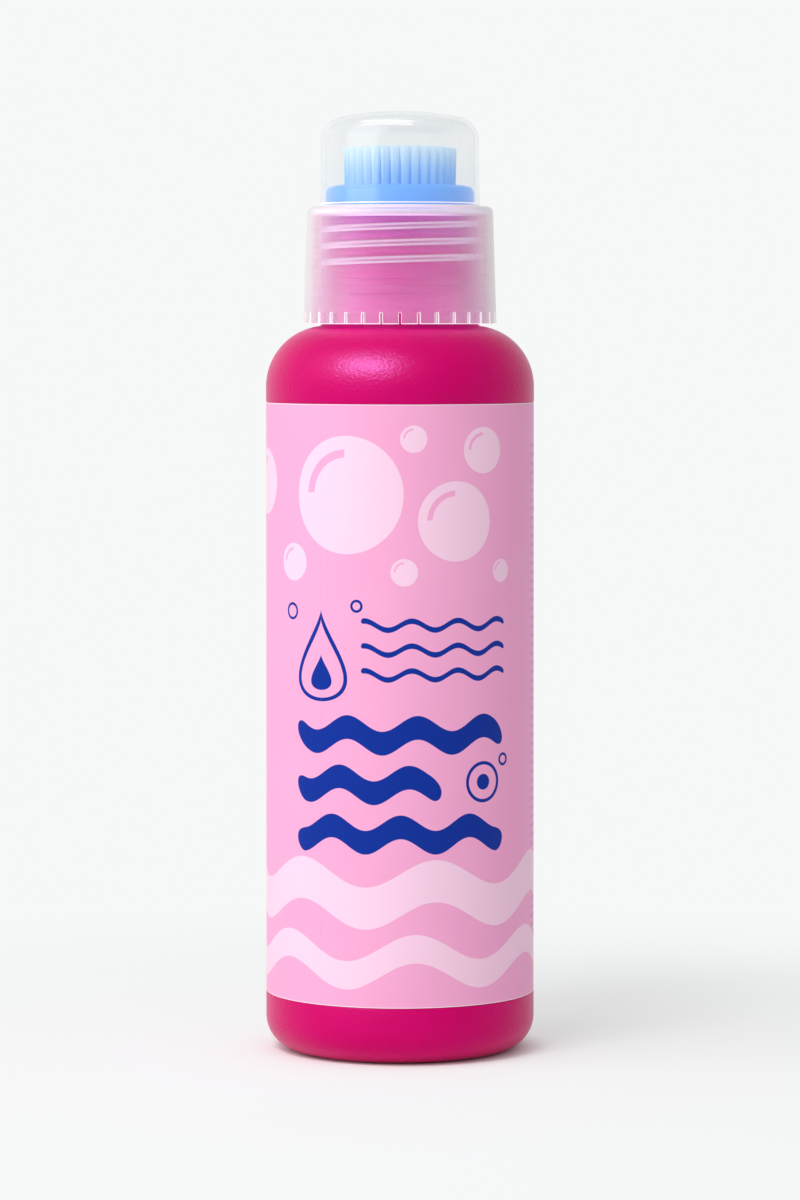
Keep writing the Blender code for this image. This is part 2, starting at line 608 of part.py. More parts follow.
def main():
    """Makes the pieces that stay with the bottle, then those that leave with the overcap."""
    clear_objects()
    bottle = make_bottle(plastic("magenta_bottle", MAGENTA, 0.42))
    make_label(bottle, plastic("pink_label_film", LABEL_PINK, 0.38))
    brush_head = make_brush_head(bottle, plastic("blue_brush_plastic", BRUSH_BLUE, 0.4))
    make_bristles(brush_head, plastic("blue_bristles", BRISTLE_BLUE, 0.5))
    make_slit_valve(brush_head, plastic("clear_silicone", SILICONE, 0.3))
    make_valve_retainer(brush_head, plastic("natural_retainer", NATURAL_PLASTIC, 0.4))
    cap_lift = bpy.data.objects.new("cap_lift", None)
    bpy.context.scene.collection.objects.link(cap_lift)
    cap_lift.location = (0.0, 0.0, NECK_RIM_Z)
    make_cap_liner(cap_lift, plastic("foam_liner", FOAM_WHITE, 0.7))
    make_overcap(cap_lift, plastic("frosted_overcap", NATURAL_PLASTIC, 0.35, alpha=0.5, transmission=0.6))


main()
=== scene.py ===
# %% [markdown]
# # A brush bottle of stain remover
#
# The real object is a magenta squeeze bottle with a pink wrap label. A light-blue brush head is
# plugged into its neck, and a frosted overcap screws down over the brush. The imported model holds
# the sizes and the motion. This script gives the pieces their finished shapes and surfaces.
#
# Nearly every piece is round, so it could be made of cylinders, or of a curve with a Screw
# modifier. Here an outline is spun in bmesh instead: one outline gives the wall, the rounded
# edges and a closed skin in one step.

import math
import random

import bmesh
import bpy
from mathutils import Matrix, Vector


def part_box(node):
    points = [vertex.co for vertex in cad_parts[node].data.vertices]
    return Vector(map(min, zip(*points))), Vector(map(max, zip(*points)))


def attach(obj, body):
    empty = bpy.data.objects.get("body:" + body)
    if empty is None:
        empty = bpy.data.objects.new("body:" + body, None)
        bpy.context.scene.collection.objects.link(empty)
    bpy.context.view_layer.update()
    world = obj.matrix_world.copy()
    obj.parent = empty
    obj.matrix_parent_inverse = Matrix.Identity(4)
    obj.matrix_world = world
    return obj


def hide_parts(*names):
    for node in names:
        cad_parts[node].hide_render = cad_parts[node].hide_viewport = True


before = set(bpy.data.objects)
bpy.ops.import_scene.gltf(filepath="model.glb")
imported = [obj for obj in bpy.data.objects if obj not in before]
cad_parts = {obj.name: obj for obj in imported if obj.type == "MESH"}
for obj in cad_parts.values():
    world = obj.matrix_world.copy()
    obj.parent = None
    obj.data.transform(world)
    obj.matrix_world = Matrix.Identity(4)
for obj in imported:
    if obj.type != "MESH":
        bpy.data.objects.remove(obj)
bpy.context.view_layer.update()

# %% [markdown]
# ## Sizes
#
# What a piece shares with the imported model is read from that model's boxes, so the two can't
# drift apart. The other sizes are the small ones that a box doesn't show. All are in metres.

# %% Read the shared sizes from the frame
MM = 0.001
FRONT = -math.pi / 2

BODY_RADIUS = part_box("bottle")[1].x
NECK_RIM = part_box("bottle")[1].z
LABEL_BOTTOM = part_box("label")[0].z
LABEL_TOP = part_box("label")[1].z
FLANGE_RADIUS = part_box("brush_head")[1].x
FLANGE_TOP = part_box("brush_head")[1].z
PLUG_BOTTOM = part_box("brush_head")[0].z
PLATE_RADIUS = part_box("bristles")[1].x
PLATE_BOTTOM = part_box("bristles")[0].z
BRUSH_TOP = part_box("bristles")[1].z
LINER_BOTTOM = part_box("cap_liner")[0].z
LINER_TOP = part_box("cap_liner")[1].z
LINER_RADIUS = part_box("cap_liner")[1].x
MOUTH_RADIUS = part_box("overcap")[1].x
CAP_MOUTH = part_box("overcap")[0].z
CAP_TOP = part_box("overcap")[1].z
print("body radius", round(BODY_RADIUS / MM, 2), "mm, height", round(CAP_TOP / MM, 2), "mm")

# %% [markdown]
# ## The camera
#
# The bottle was photographed with a long lens, level, from about the height of the overcap's mouth,
# and the frame was moved down. The move could all be shift. A small pitch takes up a part of it, so
# that less shift is left for the other views, which keep it.

# %% Place the camera
PHOTO_HEIGHT = 1200
FOCAL_PIXELS = 4540
HORIZON_ROW = 315.5
SENSOR_HEIGHT = 36.0
PITCH = math.radians(1.2)
CAMERA_PLACE = Vector((0.0, -0.881, 0.1422))

camera_data = bpy.data.cameras.new("camera")
camera_data.sensor_width = SENSOR_HEIGHT
camera_data.lens = FOCAL_PIXELS / PHOTO_HEIGHT * SENSOR_HEIGHT
camera_data.clip_start = 10 * MM
camera_data.clip_end = 20000 * MM
horizon_above_middle = PHOTO_HEIGHT / 2 - HORIZON_ROW
camera_data.shift_y = (FOCAL_PIXELS * math.tan(PITCH) - horizon_above_middle) / PHOTO_HEIGHT
camera = bpy.data.objects.new("camera", camera_data)
camera.location = CAMERA_PLACE
camera.rotation_euler = (math.pi / 2 - PITCH, 0.0, 0.0)
bpy.context.scene.collection.objects.link(camera)
bpy.context.scene.camera = camera
bpy.context.scene.view_settings.view_transform = "Standard"
print("lens", round(camera_data.lens, 1), "mm, shift", round(camera_data.shift_y, 4))

# %% [markdown]
# ## Tools for shapes
#
# An outline is a list of (radius, height) points, with its round stretches written as arcs.
# Spinning it about the axis gives the piece, and points on the axis merge into one.


# %% Outlines and spinning
def arc(centre_radius, centre_height, radius, start, end, steps):
    """Points along an arc, from the angle start to end in degrees. 0 is outward and 90 is up."""
    angles = [math.radians(start + (end - start) * step / steps) for step in range(steps + 1)]
    return [(centre_radius + radius * math.cos(a), centre_height + radius * math.sin(a)) for a in angles]


def turned(outline, segments, closed=True):
    """Spins an outline about the axis. A closed one makes a ring; an open one ends on the axis."""
    shape = bmesh.new()
    points = [shape.verts.new((radius, 0.0, height)) for radius, height in outline]
    edges = [shape.edges.new(pair) for pair in zip(points, points[1:])]
    if closed:
        edges.append(shape.edges.new((points[-1], points[0])))
    bmesh.ops.spin(
        shape, geom=points + edges, cent=(0, 0, 0), axis=(0, 0, 1),
        angle=math.tau, steps=segments, use_merge=True,
    )
    bmesh.ops.remove_doubles(shape, verts=shape.verts, dist=0.001 * MM)
    return shape


# %% From a bmesh to an object
SHARP = math.radians(35)


def finished(name, shape, material):
    """Turns a bmesh into a smooth-shaded object at the origin, with its faces pointing out."""
    bmesh.ops.recalc_face_normals(shape, faces=shape.faces)
    mesh = bpy.data.meshes.new(name)
    shape.to_mesh(mesh)
    shape.free()
    mesh.shade_smooth()
    mesh.set_sharp_from_angle(angle=SHARP)
    mesh.materials.append(material)
    piece = bpy.data.objects.new(name, mesh)
    bpy.context.scene.collection.objects.link(piece)
    print(name, "has", len(mesh.polygons), "faces")
    return piece


def combined(piece, tool_shape, operation):
    """Joins or cuts a piece with a bmesh by an exact Boolean, and keeps the result as its mesh."""
    tool = finished(piece.name + "_tool", tool_shape, piece.data.materials[0])
    step = piece.modifiers.new("combine", "BOOLEAN")
    step.operation = operation
    step.solver = "EXACT"
    step.object = tool
    graph = bpy.context.evaluated_depsgraph_get()
    mesh = bpy.data.meshes.new_from_object(piece.evaluated_get(graph))
    piece.modifiers.clear()
    piece.data = mesh
    mesh.shade_smooth()
    mesh.set_sharp_from_angle(angle=SHARP)
    bpy.data.objects.remove(tool)
    print(piece.name, "now has", len(mesh.polygons), "faces")


def belongs(piece, body, node):
    """Hangs a piece on the body it rides on, and hides the CAD node that it stands for."""
    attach(piece, body)
    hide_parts(node)


# %% [markdown]
# ## Tools for finishes
#
# A finish is a Principled shader whose colour, roughness and relief vary over the surface. Nodes
# wired one by one hide that idea, so a small class lets Python's operators add the Math nodes.


# %% A number that varies over a surface
class Amount:
    """The output of a node. Its operators and methods add Math nodes to the same tree."""

    def __init__(self, nodes, socket):
        self.nodes = nodes
        self.socket = socket

    def math(self, operation, *others):
        sockets = dict(enumerate((self, *others)))
        return Amount(self.nodes, self.nodes.add("Math", sockets, operation=operation).outputs[0])

    def __add__(self, other):
        return self.math("ADD", other)

    def __sub__(self, other):
        return self.math("SUBTRACT", other)

    def __mul__(self, other):
        return self.math("MULTIPLY", other)

    def __truediv__(self, other):
        return self.math("DIVIDE", other)

    def __rsub__(self, other):
        return self * -1.0 + other

    def __neg__(self):
        return self * -1.0

    def __abs__(self):
        return self.math("ABSOLUTE")

    __radd__ = __add__
    __rmul__ = __mul__

    def larger(self, other):
        return self.math("MAXIMUM", other)

    def smaller(self, other):
        return self.math("MINIMUM", other)

    def between(self, low, high):
        """0 at low and 1 at high, smoothly."""
        sockets = {"Value": self, "From Min": low, "From Max": high}
        return Amount(
            self.nodes, self.nodes.add("MapRange", sockets, interpolation_type="SMOOTHSTEP").outputs[0]
        )

    def under(self, limit, edge=0.02 * MM):
        """1 where this is under a limit, with an edge that fades over twice the given width."""
        return self.between(limit + edge, limit - edge)


# %% The nodes of a material
class Nodes:
    """A node tree, with one method that adds any node to it."""

    def __init__(self, tree):
        self.tree = tree

    def add(self, kind, sockets=None, **settings):
        """Adds a shader node: first its settings, then the values or links of its sockets."""
        node = self.tree.nodes.new("ShaderNode" + kind)
        for name, value in settings.items():
            setattr(node, name, value)
        for key, value in (sockets or {}).items():
            self.feed(node.inputs[key], value)
        return node

    def feed(self, socket, value):
        """Links a socket to an amount or to another socket, or sets its value."""
        if isinstance(value, Amount):
            value = value.socket
        if isinstance(value, bpy.types.NodeSocket):
            self.tree.links.new(value, socket)
        else:
            socket.default_value = value

    def amount(self, kind, sockets=None, output=0, **settings):
        return Amount(self, self.add(kind, sockets, **settings).outputs[output])

    def mix(self, share, first, second):
        """A colour that goes from first to second as share goes from 0 to 1."""
        return self.add("Mix", {0: share, 6: first, 7: second}, data_type="RGBA").outputs[2]

    def length(self, across, up):
        """How long a vector of two amounts is."""
        vector = self.add("CombineXYZ", {0: across, 1: up}).outputs[0]
        return self.amount("VectorMath", {0: vector}, "Value", operation="LENGTH")


# %% A finish
def screen(red, green, blue):
    """The linear colour that a screen shows for three values from 0 to 255."""
    shares = [value / 255 for value in (red, green, blue)]
    return tuple(s / 12.92 if s <= 0.04045 else ((s + 0.055) / 1.055) ** 2.4 for s in shares) + (1.0,)


class Finish(Nodes):
    """One material with a Principled shader, and the place on the surface as x, y and z."""

    def __init__(self, name):
        self.material = bpy.data.materials.new(name)
        self.material.use_nodes = True
        super().__init__(self.material.node_tree)
        self.shader = self.tree.nodes["Principled BSDF"]
        self.place = self.add("TexCoord").outputs["Object"]
        axes = self.add("SeparateXYZ", {0: self.place})
        self.x, self.y, self.z = (Amount(self, socket) for socket in axes.outputs)

    def surface(self, **sockets):
        """Feeds the Principled shader's sockets, whose names have _ for a space."""
        for name, value in sockets.items():
            self.feed(self.shader.inputs[name.replace("_", " ")], value)

    def noise(self, size, detail=2.0, place=None):
        """Smooth random values about 0.5, in spots about size across."""
        sockets = {"Vector": place or self.place, "Scale": 1 / size, "Detail": detail}
        return self.amount("TexNoise", sockets)

    def relief(self, height, depth):
        """Feeds the shader's Normal with a relief that is depth high where height is 1."""
        self.surface(Normal=self.add("Bump", {"Height": height, "Distance": depth}).outputs[0])


# %% [markdown]
# ## Magenta plastic
#
# Blown polyethylene has a satin skin with a fine grain, and a faint parting line where the two
# halves of its mould met. The neck's thin wall also shows a little of the blue plug behind it,
# which makes it more purple towards the rim. Under the overcap it glows with the light that the
# milky skirt scatters onto it. Scattering costs much time, so a weak emission stands for it. The
# dyed skin reflects little, and what it reflects is pinkish: a low IOR and a tint keep its colour
# deep.

# %% Magenta plastic
SHOULDER_FOOT = LABEL_TOP + 3.05 * MM
NECK_RADIUS = 15.2 * MM
SHOULDER_INSET = 1.0 * MM
SHOULDER_RADIUS = BODY_RADIUS - NECK_RADIUS + SHOULDER_INSET
SHOULDER_TOP = SHOULDER_FOOT + math.sqrt(SHOULDER_RADIUS ** 2 - SHOULDER_INSET ** 2)
BLACK = screen(0, 0, 0)
GRAIN = 0.5 * MM


def magenta_plastic():
    finish = Finish("magenta_plastic")
    cloud = finish.noise(9 * MM)
    grain = finish.noise(GRAIN, detail=3.0)
    parting_line = abs(finish.y).under(0.12 * MM, 0.08 * MM)

    behind_skirt = finish.z.between(SHOULDER_TOP - 3 * MM, SHOULDER_TOP + 6 * MM)
    above_shoulder = finish.z.between(SHOULDER_TOP, SHOULDER_TOP + 9 * MM)
    near_rim = finish.z.between(NECK_RIM - 8 * MM, NECK_RIM)
    body = finish.mix(cloud, screen(200, 0, 98), screen(207, 1, 104))
    neck = finish.mix(near_rim, screen(214, 4, 148), screen(190, 30, 182))
    glow = finish.mix(above_shoulder, screen(215, 62, 185), screen(122, 10, 106))
    glow = finish.mix(near_rim, glow, screen(118, 16, 112))

    finish.surface(
        Base_Color=finish.mix(behind_skirt, body, neck),
        Emission_Color=finish.mix(behind_skirt, BLACK, glow),
        Emission_Strength=0.42,
        Roughness=cloud * 0.05 + grain * 0.14 + 0.22,
        IOR=1.3,
        Specular_Tint=screen(178, 131, 213),
    )
    finish.relief(grain + parting_line * 0.3, 0.1 * MM)
    return finish.material


# %% [markdown]
# ## The bottle
#
# The bottle stands on a ring, its base is pushed up inside it, and a shallow panel keeps the label
# from scuffing. A cylinder with bevels could give the outside. One outline gives the outside and
# the wall at once, and the neck's thread is a rib that a Boolean joins to it.

# %% Bottle outline
WALL = 1.0 * MM
BASE_CORNER = 6.5 * MM
STANDING_RING = 2.0 * MM
RING_ROUND = 0.25 * MM
PUSH_UP = 1.6 * MM
PUSH_UP_SHARES = (0, 0.3, 0.5, 0.7, 0.85, 0.95)
PANEL_DEPTH = 0.2 * MM
PANEL_EDGE = 0.15 * MM
BORE_RADIUS = 13.4 * MM
RIM_ROUND = 0.3 * MM
BEAD_BOTTOM = NECK_RIM - 15.02 * MM
BEAD_WIDTH = 1.8 * MM
BEAD_DEPTH = 1.0 * MM
BEAD_ROUND = 0.4 * MM
NECK_FILLET = 0.4 * MM
MOULD_RINGS = [NECK_RIM - 16.6 * MM, NECK_RIM - 11.85 * MM]
MOULD_RING = 0.16 * MM


def bottle_outline():
    """From the middle of the base up the outside to the rim, and down the inside."""
    ring_outer = BODY_RADIUS - BASE_CORNER
    ring_inner = ring_outer - STANDING_RING
    panel = BODY_RADIUS - PANEL_DEPTH
    shoulder_centre = BODY_RADIUS - SHOULDER_RADIUS
    shoulder_end = math.degrees(math.acos(SHOULDER_INSET / SHOULDER_RADIUS))
    wall_depth = PANEL_DEPTH + WALL
    bead = NECK_RADIUS + BEAD_DEPTH - BEAD_ROUND
    push_up = [(share * ring_inner, PUSH_UP * (1 - share ** 4)) for share in PUSH_UP_SHARES]
    outside = [
        *push_up,
        *arc(ring_inner + 2 * RING_ROUND, RING_ROUND, RING_ROUND, 200, 270, 3),
        *arc(ring_outer, BASE_CORNER, BASE_CORNER, -90, 0, 18),
        (BODY_RADIUS, LABEL_BOTTOM - 2 * PANEL_EDGE),
        (BODY_RADIUS - 0.25 * PANEL_DEPTH, LABEL_BOTTOM - PANEL_EDGE),
        (panel, LABEL_BOTTOM - 0.4 * PANEL_EDGE),
        (panel, LABEL_TOP + 0.4 * PANEL_EDGE),
        (BODY_RADIUS - 0.25 * PANEL_DEPTH, LABEL_TOP + PANEL_EDGE),
        (BODY_RADIUS, LABEL_TOP + 2 * PANEL_EDGE),
        *arc(shoulder_centre, SHOULDER_FOOT, SHOULDER_RADIUS, 0, shoulder_end - 2, 24),
        *arc(NECK_RADIUS + NECK_FILLET, SHOULDER_TOP + NECK_FILLET, NECK_FILLET, 255, 180, 5),
        *arc(NECK_RADIUS, MOULD_RINGS[0], MOULD_RING, -90, 90, 6),
        (NECK_RADIUS, BEAD_BOTTOM),
        *arc(bead, BEAD_BOTTOM + BEAD_ROUND, BEAD_ROUND, -90, 0, 4),
        *arc(bead, BEAD_BOTTOM + BEAD_WIDTH - BEAD_ROUND, BEAD_ROUND, 0, 90, 4),
        (NECK_RADIUS, BEAD_BOTTOM + BEAD_WIDTH),
        *arc(NECK_RADIUS, MOULD_RINGS[1], MOULD_RING, -90, 90, 6),
        *arc(NECK_RADIUS - RIM_ROUND, NECK_RIM - RIM_ROUND, RIM_ROUND, 0, 90, 4),
    ]
    inside = [
        *arc(BORE_RADIUS + RIM_ROUND, NECK_RIM - RIM_ROUND, RIM_ROUND, 90, 180, 4),
        (BORE_RADIUS, SHOULDER_TOP - WALL),
        *arc(shoulder_centre, SHOULDER_FOOT, SHOULDER_RADIUS - wall_depth, 90, 0, 12),
        *arc(ring_outer, BASE_CORNER, BASE_CORNER - wall_depth, 0, -90, 8),
        (0.7 * ring_inner, 0.76 * PUSH_UP + WALL),
        (0.0, PUSH_UP + WALL),
    ]
    return outside + inside


# %% A helical rib
THREAD_PITCH = 3.175 * MM
THREAD_STEPS_PER_TURN = 96
RIB_ROOT_WIDTH = 1.45 * MM
RIB_CREST_WIDTH = 0.8 * MM
RIB_ROUND = 0.22 * MM
EASE_TURNS = 0.14
LEAST_HEIGHT = 0.08


def thread_rib(root, crest, turns, top, front):
    """A rib of a right-handed thread, which sinks into its wall at both ends.

    root and crest are radii. top is the height of its upper end, and front a height at which it
    crosses the front.
    """
    side = math.copysign(1.0, crest - root)
    section = [
        (root, -RIB_ROOT_WIDTH / 2),
        (crest - side * RIB_ROUND, -RIB_CREST_WIDTH / 2),
        (crest, -RIB_CREST_WIDTH / 2 + RIB_ROUND),
        (crest, RIB_CREST_WIDTH / 2 - RIB_ROUND),
        (crest - side * RIB_ROUND, RIB_CREST_WIDTH / 2),
        (root, RIB_ROOT_WIDTH / 2),
    ]
    bottom = top - turns * THREAD_PITCH
    start = FRONT + math.tau * (bottom - front) / THREAD_PITCH
    shape = bmesh.new()
    corners = [shape.verts.new((radius, 0.0, bottom + height)) for radius, height in section]
    face = shape.faces.new(corners)
    bmesh.ops.rotate(shape, verts=corners, cent=(0, 0, 0), matrix=Matrix.Rotation(start, 3, "Z"))
    steps = round(turns * THREAD_STEPS_PER_TURN)
    bmesh.ops.spin(
        shape, geom=[face, *face.edges, *face.verts], cent=(0, 0, 0), axis=(0, 0, 1),
        dvec=(0, 0, turns * THREAD_PITCH / steps), angle=turns * math.tau, steps=steps,
    )
    for corner in shape.verts:
        radius = math.hypot(corner.co.x, corner.co.y)
        angle_turns = (math.atan2(corner.co.y, corner.co.x) - start) / math.tau
        rise_turns = (corner.co.z - bottom) / THREAD_PITCH
        along = angle_turns + round(rise_turns - angle_turns)
        ease = max(0.0, min(1.0, along / EASE_TURNS, (turns - along) / EASE_TURNS))
        height_share = LEAST_HEIGHT + (1 - LEAST_HEIGHT) * math.sin(ease * math.pi / 2)
        eased = root + (radius - root) * height_share
        corner.co.x *= eased / radius
        corner.co.y *= eased / radius
    return shape


# %% Build the bottle
ROUND = 192
CAP_RIB_FRONT = NECK_RIM - 1.9 * MM
NECK_RIB_FRONT = CAP_RIB_FRONT + 1.425 * MM
THREAD_SINK = 0.3 * MM
THREAD_HEIGHT = 1.1 * MM

magenta = magenta_plastic()
bottle = finished("bottle_shell", turned(bottle_outline(), ROUND, closed=False), magenta)
combined(
    bottle,
    thread_rib(
        root=NECK_RADIUS - THREAD_SINK, crest=NECK_RADIUS + THREAD_HEIGHT,
        turns=2.3, top=NECK_RIM - 1.6 * MM, front=NECK_RIB_FRONT,
    ),
    "UNION",
)
belongs(bottle, "bottle", "bottle")

# %% [markdown]
# ## The label's print
#
# The print could be painted on an image, but a formula stays sharp at any distance. Each motif is
# a distance worked out on the unrolled film, where u runs to the right round the bottle from the
# middle of the front and v runs up from the label's lower edge. Bubbles rise from waves in pale
# pink, and a drop, rings and wavy bars stand between them in royal blue.


# %% Motifs of the print
class Print:
    """The unrolled film, with masks of motifs. Their places and sizes are in millimetres."""

    def __init__(self, finish):
        self.finish = finish
        self.u = finish.x.math("ARCTAN2", -finish.y) * (BODY_RADIUS / MM)
        self.v = (finish.z - LABEL_BOTTOM) / MM
        self.edge = 0.03

    def reach(self, u, v):
        """The distance from a point of the film."""
        return self.finish.length(self.u - u, self.v - v)

    def disc(self, u, v, radius):
        return self.reach(u, v).under(radius, self.edge)

    def ring(self, u, v, radius, line):
        return abs(self.reach(u, v) - radius).under(line / 2, self.edge)

    def bubble(self, u, v, radius):
        """A disc whose glint, a curved stroke near its upper left edge, is left out."""
        reach = self.reach(u, v)
        glint = abs(reach - 0.7 * radius).under(0.07 * radius, self.edge)
        corner = self.reach(u - 0.75 * radius, v + 0.75 * radius).under(0.72 * radius, self.edge)
        return reach.under(radius, self.edge) * (1 - glint * corner)

    def bar(self, u, v, length, line, swell, pitch, shift=0.0):
        """A bar with round ends that goes up and down by swell, once in each pitch."""
        rise = ((self.u / pitch + shift) * math.tau).math("SINE") * swell
        past_end = (abs(self.u - u) - (length - line) / 2).larger(0.0)
        return self.finish.length(past_end, self.v - v - rise).under(line / 2, self.edge)

    def drop(self, u, v, width, height):
        """A drop, round below and pointed above, about the middle of its height."""
        share = ((self.v - v) / (height / 2)).smaller(1.0).larger(-1.0)
        half = (1 - share) * (1 - share * share).math("SQRT") * (width / 2.6)
        return (abs(self.u - u) - half).under(0.0, self.edge)


def any_of(masks):
    """Where at least one of the masks is 1."""
    result = masks[0]
    for mask in masks[1:]:
        result = result.larger(mask)
    return result


# %% Layout of the print
ROUND_THE_BOTTLE = math.tau * BODY_RADIUS / MM
SWELL_PITCH = ROUND_THE_BOTTLE / 6
RIPPLE_PITCH = ROUND_THE_BOTTLE / 12


def pale_motifs(film):
    """Bubbles above, and below them two bands of waves that go right round the bottle."""
    bubbles = [
        (-10.5, 97.0, 11.2), (11.0, 92.0, 7.6), (17.0, 105.4, 4.4), (2.6, 107.6, 2.6), (0.8, 82.4, 2.6),
        (-23.2, 84.0, 3.6), (21.6, 82.4, 2.2), (-36.0, 99.0, 6.4), (-46.0, 88.0, 3.2), (-57.0, 102.0, 4.4),
    ]
    waves = [
        film.bar(0.0, 21.4, 2 * ROUND_THE_BOTTLE, 8.0, 2.6, SWELL_PITCH),
        film.bar(0.0, 8.6, 2 * ROUND_THE_BOTTLE, 5.4, 2.6, SWELL_PITCH, 0.14),
    ]
    return any_of([film.bubble(*bubble) for bubble in bubbles] + waves)


def blue_motifs(film):
    """A drop beside fine ripples, and bold ripples with rings below them."""
    drop = film.drop(-16.0, 66.5, 11.5, 17.5) * (1 - film.drop(-16.0, 65.9, 9.9, 14.9))
    core = film.drop(-16.0, 63.3, 4.8, 6.8)
    fine = [film.bar(7.5, 72.4 - 4.7 * row, 30.0, 1.05, 0.85, 9.07) for row in range(3)]
    bold = [
        film.bar(0.0, 51.6, 44.0, 4.5, 1.5, RIPPLE_PITCH),
        film.bar(-7.0, 42.2, 30.0, 4.5, 1.5, RIPPLE_PITCH, 0.12),
        film.bar(0.0, 32.8, 44.0, 4.5, 1.5, RIPPLE_PITCH, 0.24),
    ]
    rings = [
        film.ring(17.0, 42.4, 3.6, 0.65), film.disc(17.0, 42.4, 1.5), film.ring(22.2, 46.4, 1.0, 0.5),
        film.ring(-23.6, 74.6, 1.4, 0.5), film.ring(-8.4, 76.0, 1.0, 0.5),
    ]
    return any_of([drop, core, *fine, *bold, *rings])


def dot_panel(film):
    """A panel of small dots on the label's right side."""
    pitch = 1.75
    across = (film.u / pitch).math("FRACT") - 0.5
    up = (film.v / pitch).math("FRACT") - 0.5
    dots = (film.finish.length(across, up) * pitch).under(0.42, film.edge)
    return dots * abs(film.u - 47.25).under(13.1, film.edge) * abs(film.v - 57.75).under(49.0, film.edge)


# %% Printed film
def printed_film():
    finish = Finish("printed_film")
    film = Print(finish)
    cloud = finish.noise(14 * MM)
    grain = finish.noise(GRAIN, detail=3.0)
    blue = blue_motifs(film)
    ground = finish.mix(cloud, screen(243, 165, 207), screen(246, 172, 212))
    colour = finish.mix(dot_panel(film), ground, screen(190, 138, 190))
    colour = finish.mix(pale_motifs(film), colour, screen(249, 208, 231))
    # A thin pale line along the label's upper and lower edges is a painted highlight, where the film's cut
    # edges catch the light.
    edge_highlight = (finish.z - LABEL_BOTTOM).smaller(LABEL_TOP - finish.z).under(0.14 * MM, 0.05 * MM)
    colour = finish.mix(edge_highlight, colour, screen(255, 236, 246))
    finish.surface(
        Base_Color=finish.mix(blue, colour, screen(4, 46, 150)),
        Roughness=cloud * 0.05 + grain * 0.05 - blue * 0.05 + 0.38,
        Specular_IOR_Level=0.12,
    )
    finish.relief(grain * 0.3 + cloud * 2.0 + blue * 0.5, 0.006 * MM)
    return finish.material


# %% [markdown]
# ## The label
#
# The label is one strip of film, which starts at the back, goes once round and lies over its own
# start. A closed ring would be simpler, but then the seam would be missing. So a thin section is
# spun a little further than a full turn, while it moves outwards by its own thickness.

# %% Build the label
FILM = 0.13 * MM
GLUE = 0.03 * MM
SEAM_GAP = 0.02 * MM
OVERLAP_TURNS = 0.035
LABEL_STEPS = 248


def label_shape():
    """A thin strip, which climbs onto its own start at the back."""
    inner = BODY_RADIUS - PANEL_DEPTH + GLUE
    strip = bmesh.new()
    lower = [strip.verts.new((0.0, radius, LABEL_BOTTOM)) for radius in (inner, inner + FILM)]
    edge = strip.edges.new(lower)
    turns = 1 + OVERLAP_TURNS
    bmesh.ops.spin(
        strip, geom=[*lower, edge], cent=(0, 0, 0), axis=(0, 0, 1),
        angle=turns * math.tau, steps=LABEL_STEPS,
    )
    climb_start = math.floor(LABEL_STEPS * (1 - OVERLAP_TURNS) / turns)
    for number, corner in enumerate(strip.verts):
        step = number // 2
        climb = min(1.0, max(0.0, (step - climb_start) / (LABEL_STEPS * OVERLAP_TURNS)))
        radius = math.hypot(corner.co.x, corner.co.y)
        lifted = (radius + climb * (FILM + SEAM_GAP)) / radius
        corner.co.x *= lifted
        corner.co.y *= lifted
    whole = [*strip.faces, *strip.edges, *strip.verts]
    raised = bmesh.ops.extrude_face_region(strip, geom=whole)["geom"]
    top = [item for item in raised if isinstance(item, bmesh.types.BMVert)]
    bmesh.ops.translate(strip, verts=top, vec=(0.0, 0.0, LABEL_TOP - LABEL_BOTTOM))
    return strip


label = finished("wrap_label", label_shape(), printed_film())
belongs(label, "bottle", "label")

# %% [markdown]
# ## The brush head
#
# The light-blue brush head is moulded: a flange on the neck's rim, a plug down the bore, a pocket
# for the tuft plate and a socket for the valve. Only the flange shows, so its edge gets the
# roundest arc. One closed outline is spun about the axis.

# %% Blue plastic
FLANGE_SEAT = FLANGE_TOP - 5.9 * MM


def blue_plastic():
    finish = Finish("blue_plastic")
    cloud = finish.noise(5 * MM)
    grain = finish.noise(0.3 * MM, detail=3.0)
    colour = finish.mix(cloud, screen(78, 152, 232), screen(88, 160, 236))
    # The emission is painted light: a weak blue glow that evens out the flange's shading, as light
    # scattered in the plastic would.
    finish.surface(
        Base_Color=colour,
        Emission_Color=screen(44, 130, 215),
        Emission_Strength=0.45,
        Roughness=cloud * 0.08 + grain * 0.06 + 0.3,
        Specular_IOR_Level=0.35,
    )
    finish.relief(grain, 0.008 * MM)
    return finish.material


# %% Build the brush head
FLANGE_EDGE = 1.3 * MM
FLANGE_FALL = 0.25 * MM
POCKET_RADIUS = PLATE_RADIUS + 0.12 * MM
POCKET_FLOOR = PLATE_BOTTOM - 0.3 * MM
DECK = POCKET_FLOOR - 1.7 * MM
OUTLET_RADIUS = 1.8 * MM
PLUG_RADIUS = BORE_RADIUS - 0.3 * MM
PLUG_WALL = 1.1 * MM
SOCKET_RADIUS = 6.6 * MM
SOCKET_WALL = 1.2 * MM
SOCKET_BOTTOM = PLUG_BOTTOM + 5.7 * MM
SNAP_BEAD = 0.35 * MM
SOFT_EDGE = 0.25 * MM


